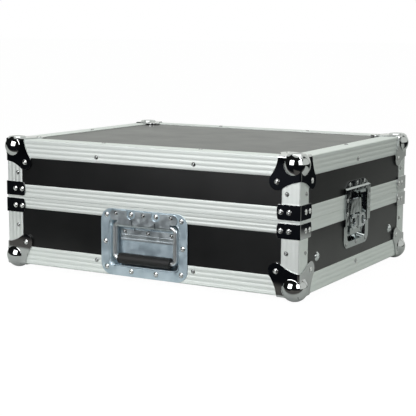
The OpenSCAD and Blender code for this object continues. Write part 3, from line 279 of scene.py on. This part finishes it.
# After its name a plating has its darkest and lightest tint, its lowest and highest roughness,
# the size and depth of its waves in mm, and its clear seal, if any
MATERIALS = {
    # Phenolic film on plywood: the panels
    "film": laminate(),
    # Mill finish aluminium with die lines along x, y or z: edges, rims and uprights
    "bar_x": extrusion("mill_aluminium_x", (ALONG, 1, 1), 0.6, 0.64),
    "bar_y": extrusion("mill_aluminium_y", (1, ALONG, 1), 0.56, 0.6),
    "bar_z": extrusion("mill_aluminium_z", (1, 1, ALONG), 0.52, 0.56),
    # Bright chrome: ball corners and corner brackets
    "chrome": plated("bright_chrome", "#c2c4c5", "#c9cbcb", 0.03, 0.05, 40, 0.05),
    # Polished nickel: rivets on the edges
    "nickel": plated("polished_nickel", "#a2a4a4", "#b0b2b2", 0.08, 0.12, 9, 0.0),
    # Satin nickel: rivets on the fittings
    "nickel_satin": plated("satin_nickel", "#d2d4d3", "#e0e1e0", 0.24, 0.3, 9, 0.0),
    # Blue passivated zinc: the handle's dish
    "zinc_blue": plated("blue_zinc", "#b0c8d6", "#dae8f0", 0.36, 0.5, 14, 0.12, 1.0),
    # Clear passivated zinc: the handle's hinge plate and stop strip
    "zinc_pale": plated("clear_zinc", "#b4c0c6", "#dae2e6", 0.28, 0.44, 9, 0.15, 1.0),
    # Clear passivated zinc on drawn rod: the handle's bail
    "zinc_rod": plated("bright_zinc_rod", "#d8dddf", "#e8ecee", 0.3, 0.36, 16, 0.02, 1.0),
    # Polished zinc on pressed sheet: the latch's dish, keeper and hook
    "zinc_polished": plated("polished_zinc", "#a4a9aa", "#babfbf", 0.05, 0.12, 8, 0.22),
    # Bright zinc: the latch's key and wings, the bolts and nuts
    "zinc_bright": plated("bright_zinc", "#c2c7c9", "#d6dadb", 0.07, 0.12, 12, 0.14),
    # Oiled spring wire: the handle's spring
    "spring": plated("spring_steel", "#4d5256", "#6d7378", 0.3, 0.36, 6, 0.0),
    # Black rubber: the grip
    "rubber": moulded_rubber(),
    # Black powder coat: the rack rails
    "powder": powder_coat(),
    # Bare plywood: the spacers behind the rails
    "plywood": bare_plywood(),
    # Dark foam: the pads
    "foam": open_cell_foam(),
}


def finish_for(name):
    """The material of a CAD node, by what the piece is."""
    if name.endswith("panel"):
        return "film"
    if "posts" in name:
        return "bar_z"
    if "_edge_" in name or "_rim_" in name:
        return "bar_x" if name.endswith(("front", "back")) else "bar_y"
    for word, finish in (("ball", "chrome"), ("bracket", "chrome"), ("rivets", "nickel"),
                         ("keeper", "zinc_polished"), ("latch_dish", "zinc_polished"),
                         ("hook", "zinc_polished"), ("wing", "zinc_bright"),
                         ("rotor", "zinc_bright"), ("bail", "zinc_rod"),
                         ("grip", "rubber"), ("spring", "spring"), ("hinge", "zinc_pale"),
                         ("strip", "zinc_pale"), ("handle", "zinc_blue"),
                         ("rail_spacers", "plywood"), ("bolts", "zinc_bright"),
                         ("nuts", "zinc_bright"), ("rail", "powder"), ("foam", "foam")):
        if word in name:
            return finish
    raise ValueError(name)


# Edge softening of the carried-over solids: how sharp an edge has to be, and its radius in mm
EDGE_ANGLE = math.radians(28)
EDGE_SEGMENTS = 2
EDGE_RADIUS = {"film": 0.3, "bar_x": 0.18, "bar_y": 0.18, "bar_z": 0.18, "chrome": 0.6,
               "zinc_blue": 0.35, "zinc_pale": 0.3, "zinc_rod": 0.25, "zinc_polished": 0.3,
               "zinc_bright": 0.25, "rubber": 0.6, "powder": 0.4, "plywood": 0.4,
               "foam": 1.0, "spring": 0.0, "nickel": 0.0}


def dress(name):
    """Gives a CAD node its material, softened edges and smooth shading."""
    node = NODES[name]
    finish = finish_for(name)
    node.data.materials.clear()
    node.data.materials.append(MATERIALS[finish])
    weld = node.modifiers.new("weld", "WELD")
    weld.merge_threshold = WELD
    if EDGE_RADIUS[finish]:
        soft = node.modifiers.new("soft_edges", "BEVEL")
        soft.width = EDGE_RADIUS[finish] * MM
        soft.segments = EDGE_SEGMENTS
        soft.limit_method = "ANGLE"
        soft.angle_limit = EDGE_ANGLE
        soft.use_clamp_overlap = True
    smooth(node.data)
    normals = node.modifiers.new("normals", "WEIGHTED_NORMAL")
    normals.keep_sharp = True


def smooth(mesh):
    """Smooth shading for every face."""
    for face in mesh.polygons:
        face.use_smooth = True


def place_piece(name, data, finish, body, node):
    """An object of the data: finished, riding on its body and standing for a CAD node."""
    piece = bpy.data.objects.new(name, data)
    bpy.context.scene.collection.objects.link(piece)
    data.materials.append(MATERIALS[finish])
    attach(piece, body)
    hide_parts(node)
    return piece


def mesh_piece(name, mesh_maker, finish, body, node):
    """A piece whose mesh a function fills."""
    mesh = bpy.data.meshes.new(name)
    made = bmesh.new()
    mesh_maker(made)
    made.normal_update()
    made.to_mesh(mesh)
    made.free()
    smooth(mesh)
    return place_piece(name, mesh, finish, body, node)


# Rivets

RIVET_SECTORS = 28
DOME_STEPS = 8
# Heads of a smaller radius than this hold the edges, the larger ones the fittings
SMALL_RIVET = 3.8
# The rim of a head is widest a little above its seat, which is smaller
RIM_IN = 0.35
RIM_UP = 0.3
# The hole that the mandrel leaves: its radius as a share of the head's, where the dome stops
# as a share of the hole's, and its wall as shares of the hole's radius and depths in mm
DIMPLE_SHARE = 0.26
DOME_END = 1.25
DIMPLE_WALL = ((1.1, 0.02), (0.85, 0.6), (0.4, 0.72))


def islands(name):
    """Lowest and highest corners of each separate solid of a CAD node."""
    mesh = bmesh.new()
    mesh.from_mesh(NODES[name].data)
    bmesh.ops.remove_doubles(mesh, verts=mesh.verts, dist=WELD)
    left = set(mesh.verts)
    boxes = []
    while left:
        stack = [left.pop()]
        corners = []
        while stack:
            vertex = stack.pop()
            corners.append(vertex.co.copy())
            for edge in vertex.link_edges:
                other = edge.other_vert(vertex)
                if other in left:
                    left.remove(other)
                    stack.append(other)
        low = Vector([min(c[i] for c in corners) for i in range(3)])
        high = Vector([max(c[i] for c in corners) for i in range(3)])
        boxes.append((low, high))
    mesh.free()
    boxes.sort(key=lambda pair: tuple(round(v, 5) for v in pair[0]))
    return boxes


def rivet_section(radius, height):
    """Points from the rim to the middle of a rivet head with a mandrel dimple."""
    dome = (radius ** 2 + height ** 2) / (2 * height)
    reach = math.asin(min(1, radius / dome))
    dimple = DIMPLE_SHARE * radius
    points = [(radius - RIM_IN * MM, 0), (radius, RIM_UP * MM)]
    for i in range(1, DOME_STEPS + 1):
        r = dome * math.sin(reach * (1 - i / DOME_STEPS))
        if r < dimple * DOME_END:
            break
        points.append((r, dome * math.cos(math.asin(r / dome)) - dome + height))
    top = points[-1][1]
    return points + [(dimple * share, top - deep * MM) for share, deep in DIMPLE_WALL]


def lathe(mesh, section, centre, axis, sectors):
    """Turns a section of (radius, height) points about an axis and closes both ends."""
    turn = axis.to_track_quat("Z", "Y").to_matrix()
    rings = []
    for radius, height in section:
        ring = []
        for i in range(sectors):
            a = 2 * math.pi * i / sectors
            local = Vector((radius * math.cos(a), radius * math.sin(a), height))
            ring.append(mesh.verts.new(centre + turn @ local))
        rings.append(ring)
    for low, high in zip(rings, rings[1:]):
        for i in range(sectors):
            j = (i + 1) % sectors
            mesh.faces.new((low[i], low[j], high[j], high[i]))
    mesh.faces.new(list(reversed(rings[0])))
    mesh.faces.new(rings[-1])


def rivet_heads(name, small):
    """A function that fills a mesh with a dimpled head for each small or large rivet."""
    def fill(mesh):
        for low, high in islands(name):
            size = high - low
            if (max(size) / 2 < SMALL_RIVET * MM) != small:
                continue
            middle = (low + high) / 2
            thin = min(range(3), key=lambda i: size[i])
            case_middle = (CAD_BOX[0][thin] + CAD_BOX[1][thin]) / 2
            outwards = 1 if middle[thin] > case_middle else -1
            axis = Vector((0, 0, 0))
            axis[thin] = outwards
            seat = middle.copy()
            seat[thin] = low[thin] if outwards > 0 else high[thin]
            radius = max(size) / 2
            lathe(mesh, rivet_section(radius, size[thin]), seat, axis, RIVET_SECTORS)
    return fill


# Foam

# Sizes in mm: the mesh, the rounding of the edges, the uneven faces and how far they sag
# towards the sides
FOAM_STEP = 12
FOAM_ROUND = 3
FOAM_SEGMENTS = 3
FOAM_RIPPLE = 0.5
FOAM_RIPPLE_SIZE = 60
FOAM_SAG = 0.8
SAG_POWER = 6


def foam_pad(name):
    """A function that fills a mesh with a cut foam pad in the space of a node."""
    low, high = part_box(name)

    def fill(mesh):
        bmesh.ops.create_cube(mesh, size=1)
        middle = (low + high) / 2
        size = high - low
        for vertex in mesh.verts:
            vertex.co = Vector([middle[i] + vertex.co[i] * size[i] for i in range(3)])
        bmesh.ops.bevel(mesh, geom=list(mesh.edges), offset=FOAM_ROUND * MM,
                        segments=FOAM_SEGMENTS, profile=0.5, affect="EDGES")
        for axis in (0, 1):
            cuts = int(size[axis] / (FOAM_STEP * MM))
            for i in range(1, cuts):
                point = Vector((0, 0, 0))
                point[axis] = low[axis] + size[axis] * i / cuts
                normal = Vector((0, 0, 0))
                normal[axis] = 1
                bmesh.ops.bisect_plane(mesh, geom=mesh.verts[:] + mesh.edges[:] + mesh.faces[:],
                                       plane_co=point, plane_no=normal)
        for vertex in mesh.verts:
            across = [abs(vertex.co[i] - middle[i]) / (size[i] / 2) for i in (0, 1)]
            inwards = 1 if vertex.co.z < middle.z else -1
            sag = max(across) ** SAG_POWER
            ripple = noise.noise(vertex.co * per_metre(FOAM_RIPPLE_SIZE)) * 0.5 + 0.5
            vertex.co.z += inwards * (FOAM_RIPPLE * ripple + FOAM_SAG * sag) * MM
    return fill


# Handle spring

# Sizes in mm. The axis is the bail's, measured from the front and the foot of the aluminium
SPRING_WIRE = 0.95
SPRING_AXIS_IN = 3.4
BAIL_HEIGHT = 84.5
LEG_END = 1
# Pitch as a share of the wire, the points of one turn and the roundness of the wire
SPRING_PITCH = 1.05
TURN_STEPS = 20
WIRE_RESOLUTION = 3


def spring_coil():
    """The closely wound torsion spring with its leg down to the stop strip."""
    low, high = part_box("handle_spring")
    strip_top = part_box("handle_stop_strip")[1].z
    axis_y = CAD_BOX[0].y + BALLS_OUT + SPRING_AXIS_IN * MM
    axis_z = BALLS_OUT + BAIL_HEIGHT * MM
    wire = SPRING_WIRE * MM
    mean = high.z - axis_z - wire / 2
    leg_x = low.x + wire / 2
    end_x = -leg_x - wire
    count = round((end_x - leg_x) / (wire * SPRING_PITCH)) * TURN_STEPS
    curve = bpy.data.curves.new("handle_spring_coil", "CURVE")
    curve.dimensions = "3D"
    curve.bevel_depth = wire / 2
    curve.bevel_resolution = WIRE_RESOLUTION
    curve.use_fill_caps = True
    points = [(leg_x, axis_y + mean, strip_top - LEG_END * MM)]
    for i in range(count + 1):
        a = 2 * math.pi * i / TURN_STEPS
        x = leg_x + (end_x - leg_x) * i / count
        points.append((x, axis_y + mean * math.cos(a), axis_z + mean * math.sin(a)))
    spline = curve.splines.new("POLY")
    spline.points.add(len(points) - 1)
    for target, point in zip(spline.points, points):
        target.co = (*point, 1)
    place_piece("handle_spring_coil", curve, "spring", "base", "handle_spring")


# Stage

# What mirrors and light see of the floor. The white table ends just in front of the case, along
# a line with this y on the axis and this slope, and brown-grey ground follows it for a little;
# further off the floor is painted shade, near black, standing for the unlit room
TABLE_EDGE = -0.294
EDGE_SLOPE = 0.2
EDGE_SOFT = 0.01
GROUND_NEAR = 0.04
GROUND_FAR = 0.09
# The ground in front of the near corner, right of this x, is brown-grey as far as this x - y
CORNER_X = 0.23
CORNER_REACH = 0.75
CORNER_SOFT = 0.03
# A gap parts the right edge of the table from the wall, behind this y; there the floor is
# painted shade, near black, for the shade in the gap
GAP_X = 0.342
GAP_SLOPE = 0.32
GAP_SOFT = 0.02
GAP_Y = 0.33
GAP_Y_SOFT = 0.1
TABLE_WHITE = "#d4d7d4"
GROUND_GREY = "#625f5d"
# Painted shade: near-black floor colour standing for the unlit room past the ground
PAINTED_ROOM_SHADE = "#121317"
# Painted shade: near-black floor colour for the gap by the wall
PAINTED_GAP_SHADE = "#1f2125"

# What the camera sees of the floor: white light from it, and a little of the lamps' for a shadow
FLOOR_REACH = 30
FLOOR_GREY = "#3c3c3c"
FLOOR_WHITE = 0.975

# Pale surfaces in the dark room: the way to the middle of each, and the cosines of the angles
# from there to where it starts to fade and to where it ends
PALE_WALLS = (((-0.303, 0.808, 0.505), 0.70, 0.58), ((0.94, 0.34, 0.0), 0.84, 0.74),
              ((0.0, 0.0, 1.0), 0.95, 0.88))
ROOM_DARK = "#1b1c1c"
ROOM_PALE = "#e6e9e4"

# Lamps: place, width and height in metres, and watts
LAMP_AIM = (0, 0, 0.1)
LAMPS = {"left_box": ((-0.35, -1.75, 0.75), 1.1, 1.1, 22),
         "right_box": ((1.5, -1.05, 0.72), 0.8, 0.9, 8),
         "top_box": ((0.0, 0.0, 2.3), 2.0, 1.1, 10)}


def softbox(name, place, width, height, power):
    """A white rectangular area light that points at the case."""
    data = bpy.data.lights.new(name, "AREA")
    data.shape = "RECTANGLE"
    data.size = width
    data.size_y = height
    data.energy = power
    lamp = bpy.data.objects.new(name, data)
    lamp.location = place
    towards = Vector(LAMP_AIM) - Vector(place)
    lamp.rotation_euler = towards.to_track_quat("-Z", "Y").to_euler()
    bpy.context.scene.collection.objects.link(lamp)


def ground_colour(tree):
    """The colour of the floor as light and mirrors see it, with painted shade past the table and
    in the gap.
    """
    place = add(tree, "ShaderNodeTexCoord").outputs["Object"]
    axes = add(tree, "ShaderNodeSeparateXYZ", None, {0: place})
    x, y = axes.outputs["X"], axes.outputs["Y"]
    before = combine(tree, "SUBTRACT", y, combine(tree, "MULTIPLY", x, EDGE_SLOPE))
    table = step(tree, before, TABLE_EDGE - EDGE_SOFT, TABLE_EDGE + EDGE_SOFT)
    strip = step(tree, before, TABLE_EDGE - GROUND_FAR, TABLE_EDGE - GROUND_NEAR)
    right = step(tree, x, CORNER_X - CORNER_SOFT, CORNER_X + CORNER_SOFT)
    close = step(tree, combine(tree, "SUBTRACT", x, y),
                 CORNER_REACH - CORNER_SOFT, CORNER_REACH + CORNER_SOFT, 1.0, 0.0)
    near = combine(tree, "MAXIMUM", strip, combine(tree, "MULTIPLY", right, close))
    past_edge = combine(tree, "SUBTRACT", x, combine(tree, "MULTIPLY", y, GAP_SLOPE))
    gap = combine(tree, "MULTIPLY", step(tree, past_edge, GAP_X - GAP_SOFT, GAP_X + GAP_SOFT),
                  step(tree, y, GAP_Y - GAP_Y_SOFT, GAP_Y + GAP_Y_SOFT))
    white = combine(tree, "MULTIPLY", table, combine(tree, "SUBTRACT", 1.0, gap))
    # Past the table: brown-grey ground near it, and painted shade for the unlit room further off
    ground_and_painted_shade = blend(tree, near, colour(PAINTED_ROOM_SHADE), colour(GROUND_GREY))
    # The gap is painted shade as well
    lasting = blend(tree, gap, ground_and_painted_shade, colour(PAINTED_GAP_SHADE))
    return blend(tree, white, lasting, colour(TABLE_WHITE))


def floor():
    """A white floor with a faint shadow. Light and mirrors see a white table in a dark studio,
    whose floor past the table is painted shade.
    """
    mesh = bpy.data.meshes.new("floor")
    reach = FLOOR_REACH
    mesh.from_pydata([(-reach, -reach, 0), (reach, -reach, 0), (reach, reach, 0),
                      (-reach, reach, 0)], [], [(0, 1, 2, 3)])
    made = bpy.data.materials.new("studio_paper")
    made.use_nodes = True
    tree = made.node_tree
    tree.nodes.clear()
    path = add(tree, "ShaderNodeLightPath")
    paper = add(tree, "ShaderNodeBsdfDiffuse", None, {"Color": ground_colour(tree)})
    shown_paper = add(tree, "ShaderNodeBsdfDiffuse", None, {"Color": colour(FLOOR_GREY)})
    shown_white = add(tree, "ShaderNodeEmission", None,
                      {"Color": colour("#ffffff"), "Strength": FLOOR_WHITE})
    shown = add(tree, "ShaderNodeAddShader", None,
                {0: shown_paper.outputs[0], 1: shown_white.outputs[0]})
    both = add(tree, "ShaderNodeMixShader", None,
               {0: path.outputs["Is Camera Ray"], 1: paper.outputs[0], 2: shown.outputs[0]})
    add(tree, "ShaderNodeOutputMaterial", None, {"Surface": both.outputs[0]})
    mesh.materials.append(made)
    sheet = bpy.data.objects.new("floor", mesh)
    bpy.context.scene.collection.objects.link(sheet)


def surroundings():
    """A white backdrop, which mirrors see as two pale walls and some pale ceiling in the dark."""
    world = bpy.data.worlds.new("studio")
    world.use_nodes = True
    tree = world.node_tree
    tree.nodes.clear()
    path = add(tree, "ShaderNodeLightPath")
    towards = add(tree, "ShaderNodeTexCoord").outputs["Generated"]
    pale = 0.0
    for direction, near, far in PALE_WALLS:
        facing = add(tree, "ShaderNodeVectorMath", {"operation": "DOT_PRODUCT"},
                     {0: towards, 1: direction})
        pale = combine(tree, "MAXIMUM", pale, step(tree, facing.outputs["Value"], far, near))
    room = blend(tree, pale, colour(ROOM_DARK), colour(ROOM_PALE))
    light = add(tree, "ShaderNodeBackground", None, {"Color": room})
    white = blend(tree, path.outputs["Is Camera Ray"], colour(ROOM_PALE), colour("#ffffff"))
    shown = add(tree, "ShaderNodeBackground", None, {"Color": white})
    mirrored = combine(tree, "MAXIMUM", path.outputs["Is Glossy Ray"],
                       path.outputs["Is Transmission Ray"])
    seen = combine(tree, "MAXIMUM", path.outputs["Is Camera Ray"],
                   combine(tree, "MULTIPLY", mirrored, pale))
    both = add(tree, "ShaderNodeMixShader", None,
               {0: seen, 1: light.outputs[0], 2: shown.outputs[0]})
    add(tree, "ShaderNodeOutputWorld", None, {"Surface": both.outputs[0]})
    bpy.context.scene.world = world


def stage():
    """Floor, room and lamps: two square boxes beside the camera and one above."""
    bpy.context.scene.view_settings.view_transform = "Standard"
    floor()
    surroundings()
    for name, (place, width, height, power) in LAMPS.items():
        softbox(name, place, width, height, power)


def dress_case():
    """Every CAD node gets its finish; rivets, foam and spring get fuller pieces."""
    for name in NODES:
        dress(name)
    for half in ("base", "lid"):
        for size, small, finish in (("edge", True, "nickel"), ("fitting", False, "nickel_satin")):
            mesh_piece(f"{half}_{size}_rivets", rivet_heads(half + "_rivets", small), finish, half,
                       half + "_rivets")
    for name, body in (("floor_foam", "base"), ("lid_foam", "lid")):
        pad = mesh_piece(name + "_pad", foam_pad(name), "foam", body, name)
    spring_coil()


place_camera()
stage()
dress_case()
